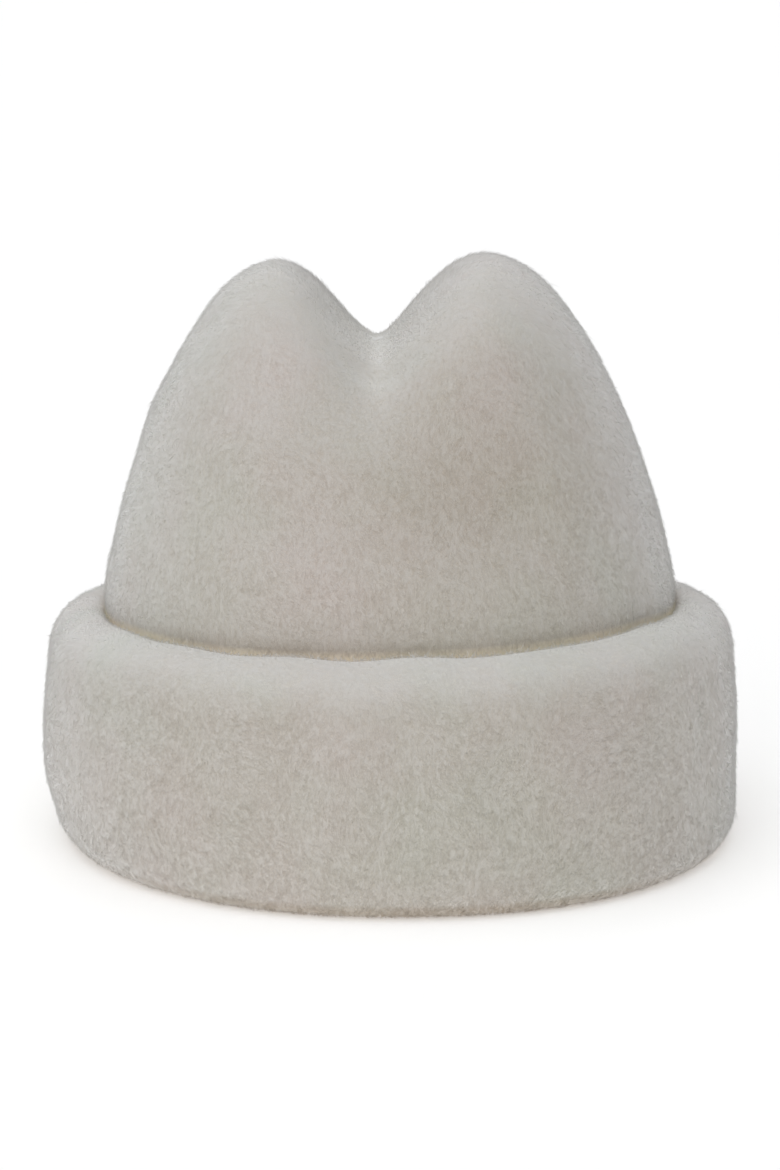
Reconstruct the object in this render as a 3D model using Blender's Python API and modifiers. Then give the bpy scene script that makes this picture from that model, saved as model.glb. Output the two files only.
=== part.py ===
# A felt hat in one piece: a tall crown creased down its middle, and a brim turned straight up
# round it as a deep cuff, whose top rolls over and tucks in behind itself.
# Blender 4.5, metres, +Z up. The hat stands on its lower fold at z = 0, its front towards -Y,
# with the origin under the middle of its bounding box.

from collections import namedtuple
import math

import bpy
import numpy as np

# Felt and head opening
FELT_THICKNESS = 0.003
HEAD_WIDTH = 0.160          # inside the opening, side to side
HEAD_LENGTH = 0.202         # inside the opening, front to back
OVAL_POWER = 2.2            # 2 is an ellipse; more is squarer
OVAL_EGG = 0.025            # how much wider the back is than the front, as a share

# Crown, measured from the surface that the hat stands on
CROWN_HEIGHT = 0.187        # of the dome before it is dented

# Cuff
CUFF_HEIGHT = 0.073         # at the front, to the top of the roll
CUFF_STAND_OFF = 0.0240     # from the crown's wall at the opening to the cuff's belly
BELLY_SHARE = 0.40          # how far up the wall its widest line is
FOOT_INSET = 0.0020         # the wall's foot inward of its belly
SHOULDER_INSET = 0.0016     # the wall's shoulder inward of its belly
FOLD_RADIUS = 0.005         # where the crown's wall turns out into the brim
CORNER_RADIUS = 0.0075      # where the brim turns up into the cuff
SHOULDER_RISE = 0.015       # height of the round shoulder under the roll's top
LIP_RADIUS = 0.0025         # where the roll turns down beside the crown
HEM_DEPTH = 0.014           # how far the felt's free edge is tucked down inside
CREVICE_GAP = 0.0006        # between the tucked edge and the crown

# How finely the felt is divided
COLUMNS = 60
CROWN_ROWS = 26
CROWN_ROW_POWER = 1.2       # above 1 sets the rows closer together round the crease
ARC_ROWS = 4
FLAT_ROWS = 3
WALL_ROWS = 4
EDGE_ROWS = 2
TURN_STEP = 0.001           # radians between the points that a direction is taken from

FELT_COLOUR = (0.66, 0.62, 0.55, 1.0)
FELT_ROUGHNESS = 0.95

# The dome before it is dented, from the opening up. Heights are shares of CROWN_HEIGHT, and
# the half widths and lengths are shares of the opening's. Side is how far the crown sits to
# one side there, as a share of the opening's half width, with +X positive.
Section = namedtuple("Section", "height half_width half_length side")
CROWN_SECTIONS = (
    Section(0.05, 1.000, 1.000, 0.000),
    Section(0.20, 1.040, 1.025, 0.000),
    Section(0.38, 1.060, 1.040, 0.000),
    Section(0.48, 1.018, 1.020, -0.004),
    Section(0.58, 0.955, 0.975, -0.008),
    Section(0.70, 0.857, 0.900, -0.012),
    Section(0.82, 0.706, 0.770, -0.016),
    Section(0.90, 0.566, 0.620, -0.024),
    Section(0.97, 0.336, 0.400, -0.046),
    Section(1.00, 0.000, 0.000, -0.050),
)

# Dents are pressed down and back towards a spine inside the crown, and bulges, with a negative
# depth, out from it. Places and reaches are shares of the opening's half width, its half
# length and CROWN_HEIGHT, and depths are shares of CROWN_HEIGHT. Each fades away from its
# place as a bell: sharp is the bell's power from side to side, 2 for a round dent and less
# for a pinched one.
SPINE_HEIGHT = 0.50
SPINE_HALF_LENGTH = 0.35
Fold = namedtuple("Fold", "name x y z reach_x reach_y reach_z sharp depth")
FOLDS = (
    Fold("crease", -0.050, 0.02, 1.00, 0.275, 0.88, 0.34, 1.7, 0.202),
    Fold("left lobe", -0.500, 0.00, 1.00, 0.350, 0.90, 0.30, 2.0, 0.007),
    Fold("left pinch", -0.300, -0.85, 0.69, 0.300, 0.30, 0.16, 2.0, 0.024),
    Fold("right pinch", 0.300, -0.85, 0.67, 0.300, 0.30, 0.16, 2.0, 0.024),
)

# The cuff isn't quite even all round. Directions are in degrees from the front towards +X.
# Top is a share of CUFF_HEIGHT, corner of CORNER_RADIUS and foot of FOOT_INSET.
CuffSide = namedtuple("CuffSide", "direction top corner foot")
CUFF_SIDES = (
    CuffSide(0, 1.000, 1.1, 0.6),
    CuffSide(50, 1.015, 0.9, 0.0),
    CuffSide(90, 0.970, 0.7, 0.1),
    CuffSide(135, 0.905, 0.8, 0.6),
    CuffSide(180, 0.900, 1.0, 1.0),
    CuffSide(225, 0.900, 1.1, 1.2),
    CuffSide(270, 0.945, 1.2, 1.5),
    CuffSide(320, 0.985, 1.2, 1.2),
)


def head_oval(turn):
    """The felt's middle line round the head opening, turn radians from the front towards +X."""
    sine, cosine = math.sin(turn), -math.cos(turn)
    radius = (abs(sine) ** OVAL_POWER + abs(cosine) ** OVAL_POWER) ** (-1 / OVAL_POWER)
    egg = 1 + OVAL_EGG * cosine * radius
    return np.array([
        sine * radius * egg * (HEAD_WIDTH + FELT_THICKNESS) / 2,
        cosine * radius * (HEAD_LENGTH + FELT_THICKNESS) / 2,
    ])


def outward(turn):
    """The direction square to the opening's middle line, away from the head."""
    along = head_oval(turn + TURN_STEP) - head_oval(turn - TURN_STEP)
    return np.array([along[1], -along[0]]) / np.linalg.norm(along)


def crown_section(share):
    """The dome's section at a share of the way from its top to the opening.

    A Catmull-Rom curve runs through the rows of CROWN_SECTIONS, spaced by their distances.
    """
    rows = np.array(CROWN_SECTIONS)[::-1]
    over_the_top = rows[1] * (1, -1, -1, 1)
    below = 2 * rows[-1] - rows[-2]
    points = np.vstack([over_the_top, rows, below])
    steps = np.linalg.norm(np.diff(points * (CROWN_HEIGHT, HEAD_WIDTH / 2, 0, 0), axis=0), axis=1)
    knots = np.concatenate([[0], np.cumsum(steps)])
    place = knots[1] + share * (knots[-2] - knots[1])
    i = int(np.clip(np.searchsorted(knots, place, side="right") - 1, 1, len(rows) - 1))
    span = knots[i + 1] - knots[i]
    slope_a = (points[i + 1] - points[i - 1]) / (knots[i + 1] - knots[i - 1])
    slope_b = (points[i + 2] - points[i]) / (knots[i + 2] - knots[i])
    s = (place - knots[i]) / span
    return Section(*(
        (2 * s**3 - 3 * s**2 + 1) * points[i]
        + (s**3 - 2 * s**2 + s) * span * slope_a
        + (3 * s**2 - 2 * s**3) * points[i + 1]
        + (s**3 - s**2) * span * slope_b
    ))


def folded(point):
    """The point of the dome, moved by every row of FOLDS."""
    unit = np.array([HEAD_WIDTH / 2, HEAD_LENGTH / 2, CROWN_HEIGHT])
    half_spine = SPINE_HALF_LENGTH * HEAD_LENGTH / 2
    spine = np.array([
        0.0,
        np.clip(point[1], -half_spine, half_spine),
        SPINE_HEIGHT * CROWN_HEIGHT,
    ])
    inward = (spine - point) * (0, 1, 1)
    inward /= np.linalg.norm(inward)
    moved = point.copy()
    for fold in FOLDS:
        x, y, z = (point / unit - (fold.x, fold.y, fold.z)) / (
            fold.reach_x, fold.reach_y, fold.reach_z)
        fading = abs(x) ** fold.sharp + y**4 + z**4
        moved += inward * fold.depth * CROWN_HEIGHT * math.exp(-fading)
    return moved


def crown_point(share, turn):
    """The felt's middle surface on the crown, in one direction."""
    section = crown_section(share)
    x, y = head_oval(turn) * (section.half_width, section.half_length)
    x += section.side * HEAD_WIDTH / 2
    return folded(np.array([x, y, section.height * CROWN_HEIGHT]))


def cuff_side(turn):
    """The row of CUFF_SIDES for one direction, eased from each row into the next."""
    degrees = math.degrees(turn) % 360
    rows = [*CUFF_SIDES, CUFF_SIDES[0]._replace(direction=360)]
    i = max(i for i, row in enumerate(CUFF_SIDES) if row.direction <= degrees)
    here, there = np.array(rows[i]), np.array(rows[i + 1])
    s = (degrees - here[0]) / (there[0] - here[0])
    return CuffSide(*(here + (there - here) * s * s * (3 - 2 * s)))


def arc(centre, radii, start, end, rows):
    """Points of an elliptical arc in the plane of outward and up, without its first point."""
    angles = np.radians(np.linspace(start, end, rows + 1)[1:])
    return np.column_stack([
        centre[0] + radii[0] * np.cos(angles),
        centre[1] + radii[1] * np.sin(angles),
    ])


def line(start, end, rows):
    """Points of a straight run, without its first point."""
    return np.linspace(start, end, rows + 1)[1:]


def crown_stand_off(height, turn):
    """How far the crown's wall is outward of the opening's, at a height below the dents."""
    points = np.array([crown_point(share, turn) for share in np.linspace(1, 0.4, 61)])
    wall = [np.interp(height, points[:, 2], points[:, axis]) for axis in (0, 1)]
    return float((wall - head_oval(turn)) @ outward(turn))


def cuff_wall(rise, foot_inset):
    """How far out the cuff's wall is, at shares of its height: widest along its belly."""
    below = np.clip((BELLY_SHARE - rise) / BELLY_SHARE, 0, 1)
    above = np.clip((rise - BELLY_SHARE) / (1 - BELLY_SHARE), 0, 1)
    return CUFF_STAND_OFF - foot_inset * below**2 - SHOULDER_INSET * above**2


def cuff_profile(turn):
    """The cuff's middle line in one direction, as outward and up, from the fold to the hem."""
    side = cuff_side(turn)
    base = FELT_THICKNESS / 2
    foot_inset = side.foot * FOOT_INSET
    radius = side.corner * CORNER_RADIUS
    corner = (CUFF_STAND_OFF - foot_inset - radius, base + radius)
    shoulder = side.top * CUFF_HEIGHT - base - SHOULDER_RISE
    lip_height = side.top * CUFF_HEIGHT - base - LIP_RADIUS
    hem = crown_stand_off(lip_height, turn) + FELT_THICKNESS + CREVICE_GAP
    ridge = hem + LIP_RADIUS
    rise = np.linspace(0, 1, WALL_ROWS + 1)[1:]
    wall = cuff_wall(rise, foot_inset)
    return np.vstack([
        arc((FOLD_RADIUS, base + FOLD_RADIUS), (FOLD_RADIUS,) * 2, 180, 270, ARC_ROWS),
        line((FOLD_RADIUS, base), (corner[0], base), FLAT_ROWS),
        arc(corner, (radius,) * 2, 270, 360, ARC_ROWS),
        np.column_stack([wall, corner[1] + rise * (shoulder - corner[1])]),
        arc((ridge, shoulder), (wall[-1] - ridge, SHOULDER_RISE), 0, 90, ARC_ROWS + 1),
        arc((ridge, lip_height), (LIP_RADIUS,) * 2, 90, 180, ARC_ROWS - 1),
        line((hem, lip_height), (hem, lip_height - HEM_DEPTH), EDGE_ROWS),
    ])


def felt_columns():
    """The felt's middle surface as columns of points, from under the crown's top to the hem."""
    columns = []
    for turn in np.arange(COLUMNS) * 2 * math.pi / COLUMNS:
        shares = (np.arange(1, CROWN_ROWS + 1) / CROWN_ROWS) ** CROWN_ROW_POWER
        crown = [crown_point(share, turn) for share in shares]
        cuff = [(*(head_oval(turn) + outward(turn) * out), up) for out, up in cuff_profile(turn)]
        columns.append(np.array([*crown, *cuff]))
    return np.array(columns)


def felt_material():
    material = bpy.data.materials.new("felt")
    material.use_nodes = True
    shader = material.node_tree.nodes["Principled BSDF"]
    shader.inputs["Base Color"].default_value = FELT_COLOUR
    shader.inputs["Roughness"].default_value = FELT_ROUGHNESS
    shader.inputs["Metallic"].default_value = 0.0
    return material


def build_felt(collection):
    """Lofts the columns into one open surface, and gives it the felt's thickness."""
    columns = felt_columns()
    rows = columns.shape[1]
    top = crown_point(0.0, 0.0)
    vertices = [tuple(top)] + [tuple(p) for p in columns.reshape(-1, 3)]
    faces = []
    for column in range(COLUMNS):
        here, there = 1 + column * rows, 1 + (column + 1) % COLUMNS * rows
        faces.append((0, here, there))
        for row in range(rows - 1):
            faces.append((here + row, here + row + 1, there + row + 1, there + row))
    mesh = bpy.data.meshes.new("felt_body")
    mesh.from_pydata(vertices, [], faces)
    mesh.materials.append(felt_material())
    mesh.shade_smooth()
    felt = bpy.data.objects.new("felt_body", mesh)
    collection.objects.link(felt)
    thicken = felt.modifiers.new("felt thickness", "SOLIDIFY")
    thicken.thickness = FELT_THICKNESS
    thicken.offset = 0.0
    thicken.use_even_offset = True
    thicken.use_quality_normals = True
    return felt


def main():
    for old in list(bpy.data.objects):
        bpy.data.objects.remove(old)
    collection = bpy.data.collections.new("felt_hat")
    bpy.context.scene.collection.children.link(collection)
    build_felt(collection)


main()
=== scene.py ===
# Ivory felt hat: a fine felt skin and its pile of short hairs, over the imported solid.
import bpy
import numpy as np
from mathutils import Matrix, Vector


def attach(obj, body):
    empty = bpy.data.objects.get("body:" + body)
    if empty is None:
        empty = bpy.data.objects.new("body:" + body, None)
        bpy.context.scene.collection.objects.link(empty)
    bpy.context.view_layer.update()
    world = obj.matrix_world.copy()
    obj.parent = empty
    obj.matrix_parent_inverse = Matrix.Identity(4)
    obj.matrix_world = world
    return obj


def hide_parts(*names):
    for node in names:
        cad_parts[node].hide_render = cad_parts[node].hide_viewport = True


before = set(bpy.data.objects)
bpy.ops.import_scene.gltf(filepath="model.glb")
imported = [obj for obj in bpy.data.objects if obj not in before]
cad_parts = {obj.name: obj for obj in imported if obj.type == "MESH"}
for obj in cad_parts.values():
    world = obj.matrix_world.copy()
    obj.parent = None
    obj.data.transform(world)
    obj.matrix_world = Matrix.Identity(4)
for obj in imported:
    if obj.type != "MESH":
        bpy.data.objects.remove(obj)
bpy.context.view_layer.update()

print("frame loaded:", sorted(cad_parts))


# Camera

photoView = {
    "eye": (0.0, -1.1832, 0.2876),
    "aim": (-0.0001, 0.0, 0.0734),  # the point in the hat that the lens looks at
    "lens": 80.3,                   # in millimetres, for a picture of this height
    "pictureHeight": 24.0,
}

eye, aim = Vector(photoView["eye"]), Vector(photoView["aim"])
cameraData = bpy.data.cameras.new("photoCamera")
cameraData.sensor_fit = "VERTICAL"
cameraData.sensor_height = photoView["pictureHeight"]
cameraData.lens = photoView["lens"]
camera = bpy.data.objects.new("photoCamera", cameraData)
camera.location = eye
camera.rotation_euler = (aim - eye).to_track_quat("-Z", "Y").to_euler()
bpy.context.scene.collection.objects.link(camera)
bpy.context.scene.camera = camera
print("camera set")


# The form of the felt

# Sizes in metres. The middle surface is the solid's. The core is thinner than the solid,
# because the pile stands on it.
feltForm = {
    "thickness": 0.003,
    "headWidth": 0.160,         # inside the opening
    "headLength": 0.202,
    "ovalPower": 2.2,           # 2 is an ellipse; more is squarer
    "ovalEgg": 0.025,           # the back's extra width, as a share
    "crownHeight": 0.187,       # of the dome before it is dented
    # height, half width, half length, set to one side, as shares; from the opening up
    "crownSections": [
        (0.05, 1.000, 1.000, 0.000),
        (0.20, 1.040, 1.025, 0.000),
        (0.38, 1.060, 1.040, 0.000),
        (0.48, 1.018, 1.020, -0.004),
        (0.58, 0.955, 0.975, -0.008),
        (0.70, 0.857, 0.900, -0.012),
        (0.82, 0.706, 0.770, -0.016),
        (0.90, 0.566, 0.620, -0.024),
        (0.97, 0.336, 0.400, -0.046),
        (1.00, 0.000, 0.000, -0.050),
    ],
    "spineHeight": 0.50,        # dents are pressed towards this line inside the crown
    "spineHalfLength": 0.35,
    # x, y, z of the middle, reach along x, y, z, side power, depth, as shares
    "folds": [
        (-0.050, 0.02, 1.00, 0.275, 0.88, 0.34, 1.7, 0.202),     # crease
        (-0.500, 0.00, 1.00, 0.350, 0.90, 0.30, 2.0, 0.007),     # left lobe, a little lower
        (-0.300, -0.85, 0.69, 0.300, 0.30, 0.16, 2.0, 0.024),    # left pinch
        (0.300, -0.85, 0.67, 0.300, 0.30, 0.16, 2.0, 0.024),     # right pinch
    ],
    "cuffHeight": 0.073,
    "cuffStandOff": 0.0240,     # opening's wall to the cuff's belly
    "bellyShare": 0.40,
    "footInset": 0.0020,
    "shoulderInset": 0.0016,
    "foldRadius": 0.005,        # wall turning out into the brim
    "cornerRadius": 0.0075,     # brim turning up into the cuff
    "shoulderRise": 0.015,
    "lipRadius": 0.0025,
    "hemDepth": 0.014,
    "creviceGap": 0.0003,       # between the two cores; the piles fill it
    # degrees from the front towards +X, then shares of cuff height, corner radius, foot inset
    "cuffSides": [
        (0, 1.000, 1.1, 0.6),
        (50, 1.015, 0.9, 0.0),
        (90, 0.970, 0.7, 0.1),
        (135, 0.905, 0.8, 0.6),
        (180, 0.900, 1.0, 1.0),
        (225, 0.900, 1.1, 1.2),
        (270, 0.945, 1.2, 1.5),
        (320, 0.985, 1.2, 1.2),
    ],
    "columns": 256,
    "crownRows": 84,
    "rowCrowding": 1.1,         # more than 1 sets the crown's rows closer near its top
    "foldRows": 5,
    "shelfRows": 7,
    "cornerRows": 8,
    "wallRows": 26,
    "shoulderRows": 14,
    "lipRows": 6,
    "hemRows": 5,
    "wallSearch": (0.4, 121),   # the crown's rows searched for the hem: first share, count
    "pileLowest": 0.055,        # no hairs on the crown below this, behind the cuff
    "coreThickness": 0.0012,    # firm felt; the pile stands on it and makes up the rest
    "footing": (0.0020, 0.0045),    # heights between which the core leaves the solid's face
    "groundTrim": 0.007,        # height over the ground where hairs reach their full length
    "paintedCreviceSpan": (0.0056, 0.0024),   # painted crevice shade, then painted bounce light: above and below the cuff's top, where it deepens
    "openShade": 0.60,          # pale levels, read by the finishes
    "paintedTopLight": (0.27, 0.46),     # painted top light: added on the crown's tops, and on the cuff's roll
    # the crevice's level, coloured with painted warm bounce light; also on the cuff's tucked lip
    # and hem
    "paintedCreviceLevel": 0.14,
    # a darker patch of painted shade on the crown's front: x, y, z of the middle, reach along
    # each, as shares
    "paintedFrontShade": ((0.28, -0.95, 0.66), (0.62, 0.60, 0.20)),
    "paintedFrontShadeDepth": 0.32,
    "lumpDepth": 0.00035,       # soft unevenness left by the hands that shaped it
    "lumpSize": 0.030,
    "lumpFree": (0.0072, 0.0192),   # heights between which the lumps grow to their depth
}

# Each soft unevenness has its own start for its random numbers.
seeds = {"lumps": 11, "swirls": 3, "tuftTurns": 5, "tufts": 7, "streaks": 21}


def waves(points, size, seed, count=9, lengths=(0.7, 1.5), peak=1.6):
    # Smooth noise, mostly between -1 and 1: a sum of a few sine waves, each running in its
    # own direction with a length near the given size, over its usual spread times the peak.
    rng = np.random.default_rng(seed)
    heading = rng.normal(size=(count, 3))
    heading /= np.linalg.norm(heading, axis=1)[:, None]
    pitch = 2 * np.pi / (size * rng.uniform(*lengths, count))
    phase = rng.uniform(0, 2 * np.pi, count)
    level = np.zeros(points.shape[:-1])
    for way, step, start in zip(heading, pitch, phase):
        level += np.sin(points @ way * step + start)
    return level / np.sqrt(count / 2) / peak


def unit(vectors, least=1e-12):
    # Each vector over its length.
    return vectors / np.maximum(np.linalg.norm(vectors, axis=-1, keepdims=True), least)


def headOval(turn, form):
    # A superellipse, wider at the back: the felt's middle line round the head opening.
    sine, cosine = np.sin(turn), -np.cos(turn)
    power = form["ovalPower"]
    radius = (np.abs(sine) ** power + np.abs(cosine) ** power) ** (-1 / power)
    egg = 1 + form["ovalEgg"] * cosine * radius
    return np.stack([
        sine * radius * egg * (form["headWidth"] + form["thickness"]) / 2,
        cosine * radius * (form["headLength"] + form["thickness"]) / 2,
    ], axis=-1)


def outwardOf(turn, form, step=0.001):
    # Square to the opening's line, from the difference of two close points on it.
    along = headOval(turn + step, form) - headOval(turn - step, form)
    return unit(np.stack([along[..., 1], -along[..., 0]], axis=-1))


def crownSection(share, form):
    # A Catmull-Rom curve through the table's rows, spaced by their distances, top first.
    rows = np.array(form["crownSections"])[::-1]
    overTheTop = rows[1] * (1, -1, -1, 1)
    points = np.vstack([overTheTop, rows, 2 * rows[-1] - rows[-2]])
    scale = (form["crownHeight"], form["headWidth"] / 2, 0, 0)
    steps = np.linalg.norm(np.diff(points * scale, axis=0), axis=1)
    knots = np.concatenate([[0], np.cumsum(steps)])
    place = knots[1] + np.asarray(share) * (knots[-2] - knots[1])
    i = np.clip(np.searchsorted(knots, place, side="right") - 1, 1, len(rows) - 1)
    span = knots[i + 1] - knots[i]
    slopeA = (points[i + 1] - points[i - 1]) / (knots[i + 1] - knots[i - 1])[:, None]
    slopeB = (points[i + 2] - points[i]) / (knots[i + 2] - knots[i])[:, None]
    s, span = ((place - knots[i]) / span)[:, None], span[:, None]
    return ((2 * s**3 - 3 * s**2 + 1) * points[i] + (s**3 - 2 * s**2 + s) * span * slopeA
            + (3 * s**2 - 2 * s**3) * points[i + 1] + (s**3 - s**2) * span * slopeB)


def folded(points, form):
    # Each fold moves a point towards the spine by its depth times a bell of the distance
    # from the fold's middle.
    half = np.array([form["headWidth"] / 2, form["headLength"] / 2, form["crownHeight"]])
    halfSpine = form["spineHalfLength"] * half[1]
    inward = np.zeros_like(points)
    inward[..., 1] = np.clip(points[..., 1], -halfSpine, halfSpine) - points[..., 1]
    inward[..., 2] = form["spineHeight"] * half[2] - points[..., 2]
    inward = unit(inward)
    moved = points.copy()
    for x, y, z, reachX, reachY, reachZ, power, depth in form["folds"]:
        off = np.abs((points / half - (x, y, z)) / (reachX, reachY, reachZ))
        fading = off[..., 0] ** power + off[..., 1] ** 4 + off[..., 2] ** 4
        moved += inward * (depth * half[2] * np.exp(-fading))[..., None]
    return moved


def crownSurface(turn, share, form):
    # The oval of the opening, sized and lifted by the section at each share, then folded.
    section = crownSection(share, form)[:, None, :]
    oval = headOval(turn, form)[None]
    x = oval[..., 0] * section[..., 1] + section[..., 3] * form["headWidth"] / 2
    y = oval[..., 1] * section[..., 2]
    z = np.broadcast_to(section[..., 0] * form["crownHeight"], x.shape)
    return folded(np.stack([x, y, z], axis=-1), form)


def cuffSide(turn, form):
    # The table's columns at each direction, eased from each row into the next.
    table = np.array(form["cuffSides"])
    table = np.vstack([table, table[0] + (360, 0, 0, 0)])
    degrees = np.degrees(turn) % 360
    i = np.searchsorted(table[:, 0], degrees, side="right") - 1
    s = (degrees - table[i, 0]) / (table[i + 1, 0] - table[i, 0])
    s = (s * s * (3 - 2 * s))[:, None]
    return (table[i] + (table[i + 1] - table[i]) * s)[:, 1:].T


def arc(centre, radii, start, end, rows):
    # Part of an ellipse in every direction at once, without its first point.
    angle = np.radians(np.linspace(start, end, rows + 1)[1:])[:, None]
    return np.stack([centre[0] + radii[0] * np.cos(angle), centre[1] + radii[1] * np.sin(angle)])


def straight(start, end, rows):
    # A straight run in every direction at once, without its first point.
    s = np.linspace(0, 1, rows + 1)[1:, None]
    return np.stack([a + (b - a) * s for a, b in zip(start, end)])


def crownStandOff(height, turn, form):
    # Where the crown's wall crosses a height, measured outward from the opening's line.
    first, count = form["wallSearch"]
    wall = crownSurface(turn, np.linspace(first, 1, count), form)
    lower = np.maximum((wall[..., 2] <= height).argmax(axis=0), 1)
    column = np.arange(len(turn))
    a, b = wall[lower - 1, column], wall[lower, column]
    s = ((height - a[:, 2]) / (b[:, 2] - a[:, 2]))[:, None]
    crossing = (a + (b - a) * s)[:, :2] - headOval(turn, form)
    return (crossing * outwardOf(turn, form)).sum(axis=-1)


def cuffSurface(turn, form):
    # A profile carried round the opening: out along the ground, up the wall, over the
    # shoulder and down beside the crown.
    top, corner, foot = cuffSide(turn, form)
    none = np.zeros(len(turn))
    base = form["thickness"] / 2
    inset = foot * form["footInset"]
    fold = none + form["foldRadius"]
    radius = corner * form["cornerRadius"]
    cornerOut = form["cuffStandOff"] - inset - radius
    cornerUp = base + radius
    topUp = top * form["cuffHeight"] - base
    shoulder = topUp - form["shoulderRise"]
    lip = form["lipRadius"]
    hem = crownStandOff(topUp - lip, turn, form) + form["coreThickness"] + form["creviceGap"]
    ridge = hem + lip
    rise = np.linspace(0, 1, form["wallRows"] + 1)[1:, None]
    belly = form["bellyShare"]
    below = np.clip((belly - rise) / belly, 0, 1)
    above = np.clip((rise - belly) / (1 - belly), 0, 1)
    wallOut = form["cuffStandOff"] - inset * below**2 - form["shoulderInset"] * above**2
    out, up = np.hstack([
        arc((fold, base + fold), (fold, fold), 180, 270, form["foldRows"]),
        straight((fold, none + base), (cornerOut, none + base), form["shelfRows"]),
        arc((cornerOut, cornerUp), (radius, radius), 270, 360, form["cornerRows"]),
        np.stack([wallOut, cornerUp + rise * (shoulder - cornerUp)]),
        arc((ridge, shoulder), (wallOut[-1] - ridge, form["shoulderRise"]), 0, 90,
            form["shoulderRows"]),
        arc((ridge, topUp - lip), (lip, lip), 90, 180, form["lipRows"]),
        straight((hem, topUp - lip), (hem, topUp - lip - form["hemDepth"]), form["hemRows"]),
    ])
    across = headOval(turn, form) + outwardOf(turn, form) * out[..., None]
    return np.concatenate([across, up[..., None]], axis=-1)


def eased(level):
    # A smooth step from 0 to 1: 3 s^2 - 2 s^3.
    level = np.clip(level, 0, 1)
    return level * level * (3 - 2 * level)


def shadeOf(middle, normal, turn, form):
    # A pale level for each point: higher where the shown face looks up, a painted top light;
    # lower by a bell of the distance from a patch on the crown's front, a painted shade; and
    # falling to the crevice's level past the cuff's top, painted shade and then painted warm
    # bounce light in the crevice. Beside it, how shut in each point is, there and near the
    # ground.
    crown, height = form["crownRows"], middle[..., 2]
    onCrown = (np.arange(len(middle)) < crown)[:, None]
    # Painted top light: the level rises where the shown face looks up.
    upward = eased(np.where(onCrown, 1, -1) * normal[..., 2])
    shade = form["openShade"] + np.where(onCrown, *form["paintedTopLight"]) * upward
    # Painted shade: the level falls by a bell of the distance from the patch on the crown's
    # front.
    half = np.array([form["headWidth"] / 2, form["headLength"] / 2, form["crownHeight"]])
    off = (middle / half - form["paintedFrontShade"][0]) / form["paintedFrontShade"][1]
    shade = shade - onCrown * form["paintedFrontShadeDepth"] * np.exp(-(off**2).sum(-1))
    rim = cuffSide(turn, form)[0] * form["cuffHeight"]
    shut = np.zeros_like(shade)
    above, below = form["paintedCreviceSpan"]
    shut[:crown] = eased((rim + above - height[:crown]) / (above + below))
    tucked = form["lipRows"] + form["hemRows"]
    shut[-tucked:] = eased((np.arange(tucked) - 1) / form["lipRows"])[:, None]
    # Painted crevice shade, then painted warm bounce light: the level falls where the felt is
    # shut in.
    shade += (form["paintedCreviceLevel"] - shade) * shut
    nearGround = eased((form["groundTrim"] - height[crown:]) / form["groundTrim"])
    shut[crown:] = np.maximum(shut[crown:], nearGround)
    return shade, shut


def slopesOf(middle):
    # The way down the rows, and the normal: that way crossed with the way round the columns.
    along = np.gradient(middle, axis=0)
    around = np.roll(middle, -1, axis=1) - np.roll(middle, 1, axis=1)
    return unit(along), unit(np.cross(along, around))


def feltSheet(form):
    # The whole middle surface as one grid of rows by columns, moved along its normals by the
    # lumps, with its slopes, its shades and half the core's thickness.
    turn = np.arange(form["columns"]) * 2 * np.pi / form["columns"]
    share = (np.arange(1, form["crownRows"] + 1) / form["crownRows"]) ** form["rowCrowding"]
    smooth = np.concatenate([crownSurface(turn, share, form), cuffSurface(turn, form)])
    low, high = form["lumpFree"]
    free = np.clip((smooth[..., 2:] - low) / (high - low), 0, 1)
    lump = waves(smooth, form["lumpSize"], seeds["lumps"])[..., None] * form["lumpDepth"]
    middle = smooth + slopesOf(smooth)[1] * lump * free
    along, normal = slopesOf(middle)
    shade, shut = shadeOf(middle, normal, turn, form)
    low, high = form["footing"]
    core = eased((middle[..., 2:] - low) / (high - low))
    core = form["thickness"] + (form["coreThickness"] - form["thickness"]) * core
    return {"middle": middle, "normal": normal, "along": along,
            "top": crownSurface(turn[:1], np.array([0.0]), form)[0, 0],
            "topNormal": unit(normal[0].mean(axis=0)),
            "shade": shade, "shut": shut, "half": core / 2}


def meshOf(name, points, quads, triangles=None):
    # Puts whole arrays of points, four-cornered and three-cornered faces into a new piece.
    triangles = np.empty((0, 3), np.int32) if triangles is None else triangles
    corners = np.concatenate([quads.ravel(), triangles.ravel()]).astype(np.int32)
    starts = np.concatenate([
        np.arange(len(quads)) * 4, len(quads) * 4 + np.arange(len(triangles)) * 3])
    mesh = bpy.data.meshes.new(name)
    mesh.vertices.add(len(points))
    mesh.vertices.foreach_set("co", points.astype(np.float32).ravel())
    mesh.loops.add(len(corners))
    mesh.loops.foreach_set("vertex_index", corners)
    mesh.polygons.add(len(starts))
    mesh.polygons.foreach_set("loop_start", starts.astype(np.int32))
    mesh.update(calc_edges=True)
    mesh.shade_smooth()
    piece = bpy.data.objects.new(name, mesh)
    bpy.context.scene.collection.objects.link(piece)
    return piece


def gridFaces(rows, columns, start, turned):
    # Four-cornered faces between neighbouring rows, closed round the columns.
    a = start + np.arange(rows * columns).reshape(rows, columns)
    b = np.roll(a, -1, axis=1)
    corners = [a[:-1], a[1:], b[1:], b[:-1]]
    return np.stack(corners[::-1] if turned else corners, axis=-1).reshape(-1, 4)


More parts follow.
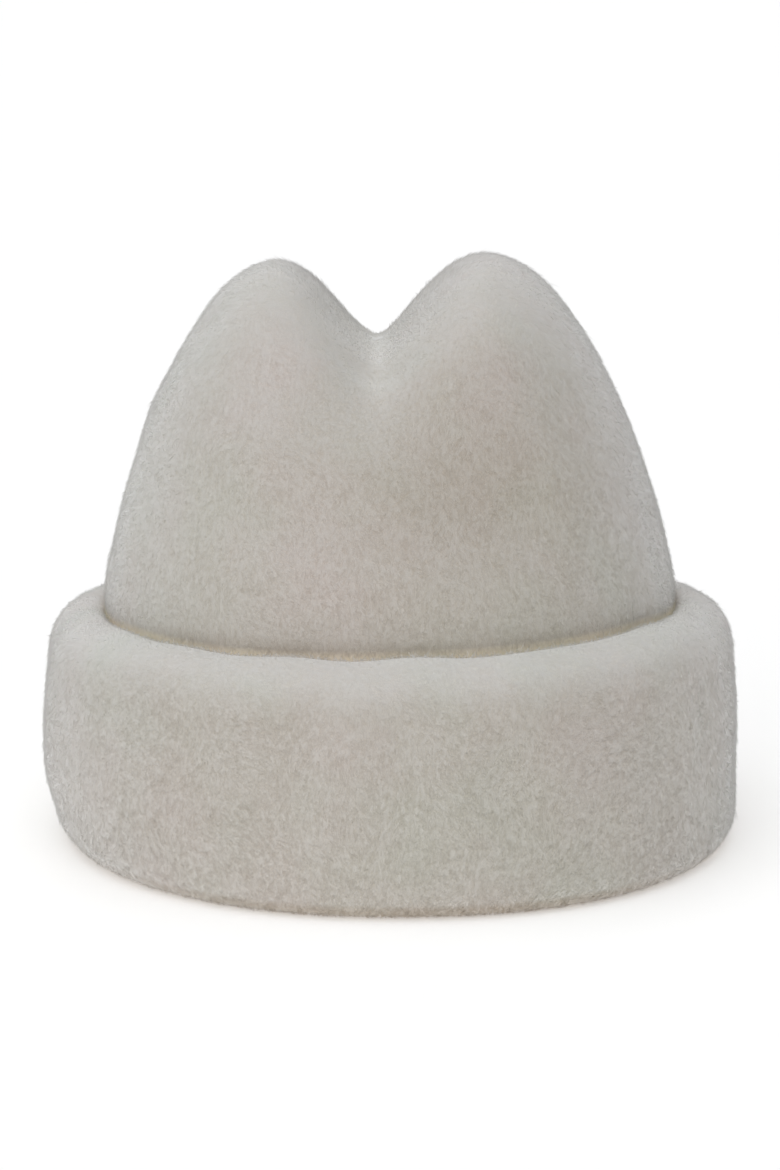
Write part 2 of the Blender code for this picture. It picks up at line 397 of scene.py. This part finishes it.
def feltSkin(sheet, form):
    # The sheet pushed half the core's thickness each way, joined at the hem and closed at
    # the top.
    rows, columns = sheet["middle"].shape[:2]
    half = sheet["normal"] * sheet["half"]
    outer, inner = sheet["middle"] + half, sheet["middle"] - half
    outer[..., 2] = np.maximum(outer[..., 2], 0.0)
    tops = sheet["top"] + np.outer((0.5, -0.5), sheet["topNormal"] * form["coreThickness"])
    count = rows * columns
    points = np.vstack([outer.reshape(-1, 3), inner.reshape(-1, 3), tops])
    column = np.arange(columns)
    after = np.roll(column, -1)
    last = (rows - 1) * columns
    hem = np.stack([last + column, count + last + column, count + last + after, last + after],
                   axis=-1)
    quads = np.vstack([
        gridFaces(rows, columns, 0, False), gridFaces(rows, columns, count, True), hem])
    pole = np.full(columns, 2 * count)
    triangles = np.vstack([
        np.stack([pole, column, after], axis=-1),
        np.stack([pole + 1, count + after, count + column], axis=-1)])
    piece = meshOf("feltSkin", points, quads, triangles)
    shade = sheet["shade"].ravel()
    level = piece.data.attributes.new("shade", "FLOAT", "POINT")
    level.data.foreach_set("value", np.concatenate([shade, shade, shade[:1], shade[:1]])
                           .astype(np.float32))
    return piece


print("shaping the felt")
sheet = feltSheet(feltForm)
skin = feltSkin(sheet, feltForm)
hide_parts("felt_body")
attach(skin, "root")
print("felt skin:", len(skin.data.polygons), "faces")


# The pile

pile = {
    "length": 0.0024,
    "lengthSpread": 0.25,
    "width": 0.00016,           # at the bend; both ends are points
    "widthSpread": 0.2,
    "stemShare": 0.45,          # of the length that lies before the bend
    "sunk": 0.00025,            # how deep the roots start under the felt's face
    "lift": 28.0,               # degrees off the felt at the root
    "liftSpread": 6.0,
    "liftLimits": (0.10, 1.2),  # radians
    "tuftLift": 1.5,            # degrees that tufts stand or lie, on the scale of tuftSize
    "tuftSize": 0.0040,
    "tuftTurn": 12.0,           # degrees that tufts turn, on the scale of tuftTurnSize
    "tuftTurnSize": 0.0068,
    "droop": 0.40,              # the tip's lift as a share of the root's
    "sideways": 60.0,           # degrees that the lay turns from the front to the flanks
    "flankReach": 0.6,          # where it has turned by that, as a share of the head's width
    "combed": 30.0,             # degrees that the lay wanders, on the scale of swirlSize
    "swirlSize": 0.028,
    "tangle": 24.0,             # degrees that each hair strays
    "curl": 18.0,
    "roll": 16.0,               # how far a hair's flat side turns from the felt
    "ownFacing": 0.06,          # how much of its own direction a hair is shaded with
    "shadeSpread": 0.02,        # how much paler or darker one hair is than the next
    "shutShorter": 0.25,        # how much shorter hairs are in the crevice and at the foot
    "footFacing": -0.5,         # the face that the hat stands on has its normal's z below this
    "footClear": 0.0006,        # and grows no hairs lower than this
    "groundClear": 0.0002,      # no hair's end is lower than this
    "streak": 0.03,             # how much paler or darker streaks are, on the scale of streakSize
    "streakSize": 0.012,
    "levelLimits": (0.02, 0.97),
    "mapWidth": 0.01,           # on the map, half a hair's width
    "mapHeights": (0.02, 0.5, 0.5, 0.98),
}

# Which face of the felt grows hairs, how many are in each piece, and where the first piece's
# random numbers start. The cuff shows the felt's other face, because the brim is turned up.
pileParts = {
    "crownPile": {"side": 1, "hairs": 66000, "pieces": 3, "seed": 900},
    "cuffPile": {"side": -1, "hairs": 66000, "pieces": 3, "seed": 800},
}


def pileRows(sheet, form):
    # The first and last row of each part: the crown from its top to where the cuff hides it,
    # and the brim from its fold to the hem.
    crown = form["crownRows"]
    hidden = (sheet["middle"][:crown, :, 2] < form["pileLowest"]).all(axis=1).sum()
    return {
        "crownPile": (0, crown - int(hidden)),
        "cuffPile": (crown + form["foldRows"], len(sheet["middle"]) - form["hemRows"]),
    }


def rootsOn(sheet, rows, part, spec, rng):
    # Roots spread evenly over one face of some rows: a cell is picked by its share of the
    # area, then a place in it, and what the sheet holds is blended from the cell's corners.
    first, last = rows
    normals = sheet["normal"][first:last] * part["side"]
    face = sheet["middle"][first:last] + normals * sheet["half"][first:last]
    beside = np.roll(face, -1, axis=1)
    cells = np.cross(face[1:] - beside[:-1], beside[1:] - face[:-1])
    area = np.linalg.norm(cells, axis=-1) / 2
    footed = normals[:-1, :, 2] < spec["footFacing"]
    area[footed & (face[:-1, :, 2] < spec["footClear"])] = 0
    pick = np.searchsorted(np.cumsum(area.ravel()), rng.random(part["hairs"]) * area.sum())
    row, column = np.unravel_index(np.minimum(pick, area.size - 1), area.shape)
    after = (column + 1) % area.shape[1]
    a, b = rng.random((2, part["hairs"], 1))

    def blended(grid):
        # Between a cell's four corners: a of the way down the rows and b round the columns.
        return ((grid[row, column] * (1 - a) + grid[row + 1, column] * a) * (1 - b)
                + (grid[row, after] * (1 - a) + grid[row + 1, after] * a) * b)

    normal = unit(blended(normals))
    down = blended(sheet["along"][first:last]) * part["side"]
    return {
        "place": blended(face),
        "normal": normal,
        "down": unit(down - normal * (down * normal).sum(-1, keepdims=True)),
        "shade": blended(sheet["shade"][first:last, :, None])[:, 0],
        "shut": blended(sheet["shut"][first:last, :, None]),
    }


def hairsFrom(roots, form, spec, rng):
    # A flat lozenge from each root: it leaves at its lift along its lay, is widest at its
    # bend, droops from there and ends in a point. The lay turns towards the flanks and wanders.
    place, normal, down = roots["place"], roots["normal"], roots["down"]
    side = np.cross(normal, down)
    count = len(place)

    def heading(degrees):
        # Along the felt, turned by so much from the way down towards the side.
        angle = np.radians(degrees)[:, None]
        return down * np.cos(angle) + side * np.sin(angle)

    flank = np.clip(place[:, 0] / (spec["flankReach"] * form["headWidth"]), -1, 1)
    lay = (-flank * spec["sideways"]
           + waves(place, spec["swirlSize"], seeds["swirls"]) * spec["combed"]
           + waves(place, spec["tuftTurnSize"], seeds["tuftTurns"]) * spec["tuftTurn"]
           + rng.normal(0, spec["tangle"], count))
    lift = np.radians(spec["lift"]
                      + waves(place, spec["tuftSize"], seeds["tufts"]) * spec["tuftLift"]
                      + rng.normal(0, spec["liftSpread"], count))
    lift = np.clip(lift, *spec["liftLimits"])[:, None]
    length = spec["length"] * np.exp(rng.normal(0, spec["lengthSpread"], count))[:, None]
    length *= 1 - spec["shutShorter"] * roots["shut"]
    way, bent = heading(lay), heading(lay + rng.normal(0, spec["curl"], count))
    stem, tipLift = spec["stemShare"], lift * spec["droop"]
    root = place - normal * spec["sunk"]
    bend = root + length * stem * (normal * np.sin(lift) + way * np.cos(lift))
    tip = bend + length * (1 - stem) * (normal * np.sin(tipLift) + bent * np.cos(tipLift))
    roll = np.radians(rng.normal(0, spec["roll"], count))[:, None]
    across = unit(np.cross(normal, way)) * np.cos(roll) + normal * np.sin(roll)
    wide = across * np.exp(rng.normal(0, spec["widthSpread"], count))[:, None]
    wide *= spec["width"] / 2
    points = np.stack([root, bend + wide, bend - wide, tip], axis=1)
    points[..., 2] = np.maximum(points[..., 2], spec["groundClear"])
    return points


def mapHairs(piece, roots, spec, rng):
    # A map whose width is each hair's own pale level and whose height runs from root to tip.
    place, shut = roots["place"], roots["shut"][:, 0]
    stray = (spec["shadeSpread"] * rng.normal(size=len(place))
             + spec["streak"] * waves(place, spec["streakSize"], seeds["streaks"]))
    level = np.clip(roots["shade"] + stray * (1 - shut), *spec["levelLimits"])
    u = level[:, None] + spec["mapWidth"] * np.array([0, 1, -1, 0])
    v = np.broadcast_to(spec["mapHeights"], u.shape)
    corners = np.empty(len(piece.data.loops), np.int32)
    piece.data.loops.foreach_get("vertex_index", corners)
    places = np.stack([u, v], axis=-1).reshape(-1, 2)[corners]
    hairMap = piece.data.uv_layers.new(name="OFBake").data
    hairMap.foreach_set("uv", places.astype(np.float32).ravel())


def growPile(name, sheet, form, spec, part, rows, seed):
    # One piece of hairs, two three-cornered faces each. A hair is shaded mostly as the felt
    # under it, so the pile reads as one soft nap.
    rng = np.random.default_rng(seed)
    roots = rootsOn(sheet, rows, part, spec, rng)
    points = hairsFrom(roots, form, spec, rng)
    start = np.arange(len(points))[:, None] * 4
    faces = np.concatenate([start + (0, 2, 1), start + (1, 2, 3)], axis=1).reshape(-1, 3)
    piece = meshOf(name, points.reshape(-1, 3), np.empty((0, 4), np.int32), faces)
    mapHairs(piece, roots, spec, rng)
    own = unit(np.cross(points[:, 2] - points[:, 0], points[:, 1] - points[:, 0]))
    share = spec["ownFacing"]
    facing = unit(roots["normal"] * (1 - share) + own * share)
    piece.data.normals_split_custom_set_from_vertices(np.repeat(facing, 4, axis=0))
    return piece


print("growing the pile")
grown = pileRows(sheet, feltForm)
pilePieces = [
    growPile(f"{name}{i + 1}", sheet, feltForm, pile, part, grown[name], part["seed"] + i)
    for name, part in pileParts.items() for i in range(part["pieces"])]
for piece in pilePieces:
    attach(piece, "root")
print("pile:", sum(part["pieces"] * part["hairs"] for part in pileParts.values()), "hairs")


# Finishes

def newFinish(name):
    # A material with its tree, its links and its main shader.
    finish = bpy.data.materials.new(name)
    finish.use_nodes = True
    nodes, links = finish.node_tree.nodes, finish.node_tree.links
    return finish, nodes, links, nodes["Principled BSDF"]


def mixed(nodes, links, factor, first, second, blend="MIX"):
    # One colour node from two colours, each input a plain value or another node's output.
    mix = nodes.new("ShaderNodeMix")
    mix.data_type = "RGBA"
    mix.blend_type = blend
    for socket, source in (("Factor", factor), ("A", first), ("B", second)):
        if isinstance(source, bpy.types.NodeSocket):
            links.new(source, mix.inputs[socket])
        else:
            mix.inputs[socket].default_value = source
    return mix.outputs["Result"]


# One ivory for the core and for the pile, shared by their finishes.
ivory = {
    "Painted Ground Shade": (0.32, 0.23, 0.125, 1.0),       # painted contact shade where the felt meets the ground
    "Painted Ground Shade Height": 0.005,
    # painted warm bounce light in the crevice and on the cuff's tucked lip and hem
    "Painted Crevice Light": (0.95, 0.85, 0.70, 1.0),
    "Deep": (0.512, 0.477, 0.430, 1.0),
    "Pale": (0.660, 0.652, 0.638, 1.0),
    "Rosy": (1.035, 0.993, 0.988, 1.0),     # soft patches that tint the felt
    "Olive": (0.985, 1.005, 0.965, 1.0),
    "Patch Scale": 24.0,                    # patches to a metre
    "Painted Sheen": (0.88, 0.88, 0.875, 1.0),        # painted sheen: the colour where the nap is seen from the side
    "Painted Sheen Power": 2.1,
}

# How the shared colour reads the pale level and its patches.
napLevels = {
    "shut": feltForm["paintedCreviceLevel"],  # here and below, all the painted warm bounce light of the crevice
    "deep": 0.32,               # here, all Deep
    "pale": 1.0,                # here, all Pale
    "rosy": 0.25,               # levels of the noise that are all Rosy and all Olive
    "olive": 0.75,
    "patchDetail": 3.0,
    "sideBlend": 0.5,
}


def makeNapColour(levels):
    # Pale level to colour through three stops, the lowest a painted warm bounce light for the
    # crevice, tinted by soft patches, darkened towards the ground by a painted ground shade, by
    # height over its height, then paled by a painted sheen, but not in the crevice, by a power of
    # how far the felt is seen from the side.
    group = bpy.data.node_groups.new("napColour", "ShaderNodeTree")
    for socket in ("Pale Level", "Side On", "Patch Scale", "Painted Sheen Power", "Painted Ground Shade Height"):
        group.interface.new_socket(socket, in_out="INPUT", socket_type="NodeSocketFloat")
    for socket in ("Painted Ground Shade", "Painted Crevice Light", "Deep", "Pale", "Rosy", "Olive", "Painted Sheen"):
        group.interface.new_socket(socket, in_out="INPUT", socket_type="NodeSocketColor")
    group.interface.new_socket("Place", in_out="INPUT", socket_type="NodeSocketVector")
    group.interface.new_socket("Colour", in_out="OUTPUT", socket_type="NodeSocketColor")
    nodes, links = group.nodes, group.links
    given = nodes.new("NodeGroupInput").outputs
    made = nodes.new("NodeGroupOutput").inputs

    def ramped(value, low, high):
        # 0 where the value is low or less, 1 where it is high or more, straight between.
        span = nodes.new("ShaderNodeMapRange")
        span.inputs["From Min"].default_value = low
        span.inputs["From Max"].default_value = high
        links.new(value, span.inputs["Value"])
        return span.outputs["Result"]

    def worked(operation, first, second):
        # The result of one operation on two values, held between 0 and 1.
        step = nodes.new("ShaderNodeMath")
        step.operation = operation
        step.use_clamp = True
        links.new(first, step.inputs[0])
        links.new(second, step.inputs[1])
        return step.outputs["Value"]

    level = given["Pale Level"]
    # Painted crevice light below the deep level, then the felt's own Deep to Pale.
    openness = ramped(level, levels["shut"], levels["deep"])
    colour = mixed(nodes, links, openness, given["Painted Crevice Light"], given["Deep"])
    paleness = ramped(level, levels["deep"], levels["pale"])
    colour = mixed(nodes, links, paleness, colour, given["Pale"])
    patches = nodes.new("ShaderNodeTexNoise")
    patches.inputs["Detail"].default_value = levels["patchDetail"]
    links.new(given["Place"], patches.inputs["Vector"])
    links.new(given["Patch Scale"], patches.inputs["Scale"])
    olive = ramped(patches.outputs["Fac"], levels["rosy"], levels["olive"])
    tint = mixed(nodes, links, olive, given["Rosy"], given["Olive"])
    colour = mixed(nodes, links, 1.0, colour, tint, "MULTIPLY")
    place = nodes.new("ShaderNodeSeparateXYZ")
    links.new(given["Place"], place.inputs["Vector"])
    # Painted ground shade: darker towards the ground, by height over its height.
    raised = worked("DIVIDE", place.outputs["Z"], given["Painted Ground Shade Height"])
    colour = mixed(nodes, links, raised, given["Painted Ground Shade"], colour)
    # Painted sheen: paler by a power of how far the felt is seen from the side.
    sideOn = worked("POWER", given["Side On"], given["Painted Sheen Power"])
    paintedSheenShare = worked("MULTIPLY", sideOn, openness)
    links.new(mixed(nodes, links, paintedSheenShare, colour, given["Painted Sheen"]), made["Colour"])
    return group


napColour = makeNapColour(napLevels)


def addNapColour(nodes, links, level, values):
    # Places the shared colour in a finish, with its own values and what it reads.
    nap = nodes.new("ShaderNodeGroup")
    nap.node_tree = napColour
    for socket, value in values.items():
        nap.inputs[socket].default_value = value
    # The Layer Weight's facing drives the painted sheen.
    sideView = nodes.new("ShaderNodeLayerWeight")
    sideView.inputs["Blend"].default_value = napLevels["sideBlend"]
    links.new(level, nap.inputs["Pale Level"])
    links.new(sideView.outputs["Facing"], nap.inputs["Side On"])
    links.new(nodes.new("ShaderNodeTexCoord").outputs["Object"], nap.inputs["Place"])
    return nap.outputs["Colour"]


def softSurface(shader, spec):
    # The shader's own values, which both finishes name alike.
    shader.inputs["Roughness"].default_value = spec["roughness"]
    shader.inputs["Specular IOR Level"].default_value = spec["specular"]
    shader.inputs["Sheen Weight"].default_value = spec["sheen"]
    shader.inputs["Sheen Roughness"].default_value = spec["sheenRoughness"]
    shader.inputs["Sheen Tint"].default_value = spec["sheenTint"]


feltFinish = {
    "roughness": 0.95,
    "specular": 0.2,
    "sheen": 0.10,
    "sheenRoughness": 0.45,
    "sheenTint": (0.93, 0.96, 1.0, 1.0),
    "fluffScale": 900.0,
    "fluffDepth": 0.00015,
    "fluffStrength": 0.35,
    "fluffDetail": 5.0,
    "fluffDistortion": 1.2,
}


def makeFeltFinish(spec):
    # The shared colour by the skin's own shade, with a fine bump of noise for fluff.
    finish, nodes, links, shader = newFinish("ivoryFelt")
    level = nodes.new("ShaderNodeAttribute")
    level.attribute_name = "shade"
    links.new(addNapColour(nodes, links, level.outputs["Fac"], ivory),
              shader.inputs["Base Color"])
    fluff = nodes.new("ShaderNodeTexNoise")
    fluff.inputs["Scale"].default_value = spec["fluffScale"]
    fluff.inputs["Detail"].default_value = spec["fluffDetail"]
    fluff.inputs["Distortion"].default_value = spec["fluffDistortion"]
    links.new(nodes.new("ShaderNodeTexCoord").outputs["Object"], fluff.inputs["Vector"])
    bump = nodes.new("ShaderNodeBump")
    bump.inputs["Distance"].default_value = spec["fluffDepth"]
    bump.inputs["Strength"].default_value = spec["fluffStrength"]
    links.new(fluff.outputs["Fac"], bump.inputs["Height"])
    links.new(bump.outputs["Normal"], shader.inputs["Normal"])
    softSurface(shader, spec)
    return finish


hairFinish = {
    "paintedRootShade": (0.97, 0.965, 0.96, 1.0),  # painted shade: what a hair's colour is multiplied by at its root
    "paler": 1.19,              # the hairs' colours against the core's, to match it in light
    "throughLight": 0.5,        # share of the light that passes through a hair
    "shadowShare": 0.06,        # how much of a full shadow a hair throws
    "roughness": 0.85,
    "specular": 0.15,
    "sheen": 0.32,
    "sheenRoughness": 0.35,
    "sheenTint": (0.90, 0.95, 1.0, 1.0),
}


def makeHairFinish(spec):
    # The shared colour by each hair's own level, with painted shade that darkens it at its root.
    # Part of the light passes through, and a shadow ray is mostly let by.
    finish, nodes, links, shader = newFinish("ivoryPile")
    hairMap = nodes.new("ShaderNodeUVMap")
    hairMap.uv_map = "OFBake"
    split = nodes.new("ShaderNodeSeparateXYZ")
    links.new(hairMap.outputs["UV"], split.inputs["Vector"])
    values = dict(ivory)
    for stop in ("Painted Ground Shade", "Painted Crevice Light", "Deep", "Pale"):
        values[stop] = tuple(min(c * spec["paler"], 1.0) for c in ivory[stop])
    napped = addNapColour(nodes, links, split.outputs["X"], values)
    white = (1.0, 1.0, 1.0, 1.0)
    rooted = mixed(nodes, links, split.outputs["Y"], spec["paintedRootShade"], white)
    hair = mixed(nodes, links, 1.0, napped, rooted, "MULTIPLY")
    links.new(hair, shader.inputs["Base Color"])
    softSurface(shader, spec)
    through = nodes.new("ShaderNodeBsdfTranslucent")
    links.new(hair, through.inputs["Color"])
    both = nodes.new("ShaderNodeMixShader")
    both.inputs["Fac"].default_value = spec["throughLight"]
    links.new(shader.outputs["BSDF"], both.inputs[1])
    links.new(through.outputs["BSDF"], both.inputs[2])
    letBy = nodes.new("ShaderNodeMath")
    letBy.operation = "MULTIPLY"
    letBy.inputs[1].default_value = 1 - spec["shadowShare"]
    links.new(nodes.new("ShaderNodeLightPath").outputs["Is Shadow Ray"], letBy.inputs[0])
    whole = nodes.new("ShaderNodeMixShader")
    links.new(letBy.outputs["Value"], whole.inputs["Fac"])
    links.new(both.outputs["Shader"], whole.inputs[1])
    links.new(nodes.new("ShaderNodeBsdfTransparent").outputs["BSDF"], whole.inputs[2])
    links.new(whole.outputs["Shader"], nodes["Material Output"].inputs["Surface"])
    return finish


skin.data.materials.append(makeFeltFinish(feltFinish))
ivoryPile = makeHairFinish(hairFinish)
for piece in pilePieces:
    piece.data.materials.append(ivoryPile)
print("finishes made")


# Floor and light

studio = {
    "floorColour": (0.95, 0.95, 0.95, 1.0),
    "floorReach": 14.0,
    "floorRoughness": 0.9,
    "floorGlow": 0.36,
    "worldColour": (0.97, 0.985, 1.0, 1.0),
    "worldStrength": 0.145,
    # name: where it shines from, how wide it is in degrees, strength
    "suns": {
        "frontLight": ((0.0, -1.0, 0.35), 70.0, 0.72),
        "windowLight": ((-0.6, -1.0, 0.5), 70.0, 0.35),
        "topLight": ((0.0, 0.0, 1.0), 70.0, 1.01),
        "sideTopLight": ((-0.7, -0.3, 0.8), 70.0, 0.33),
        "backLight": ((0.0, 1.0, 0.7), 40.0, 0.28),
    },
}


def makeStudio(spec):
    # A wide floor under an even white sky, with wide soft suns.
    reach = spec["floorReach"]
    corners = np.array([(-reach, -reach, 0), (reach, -reach, 0), (reach, reach, 0),
                        (-reach, reach, 0)], float)
    floor = meshOf("studioFloor", corners, np.array([[0, 1, 2, 3]]))
    finish, nodes, links, shader = newFinish("studioPaper")
    shader.inputs["Base Color"].default_value = spec["floorColour"]
    shader.inputs["Roughness"].default_value = spec["floorRoughness"]
    shader.inputs["Emission Color"].default_value = spec["floorColour"]
    shader.inputs["Emission Strength"].default_value = spec["floorGlow"]
    floor.data.materials.append(finish)
    world = bpy.data.worlds.new("studioWorld")
    world.use_nodes = True
    background = world.node_tree.nodes["Background"]
    background.inputs["Color"].default_value = spec["worldColour"]
    background.inputs["Strength"].default_value = spec["worldStrength"]
    bpy.context.scene.world = world
    for name, (source, width, strength) in spec["suns"].items():
        light = bpy.data.lights.new(name, "SUN")
        light.angle = np.radians(width)
        light.energy = strength
        lamp = bpy.data.objects.new(name, light)
        lamp.rotation_euler = (-Vector(source)).to_track_quat("-Z", "Y").to_euler()
        bpy.context.scene.collection.objects.link(lamp)


makeStudio(studio)
bpy.context.scene.view_settings.view_transform = "Standard"
print("studio lit")
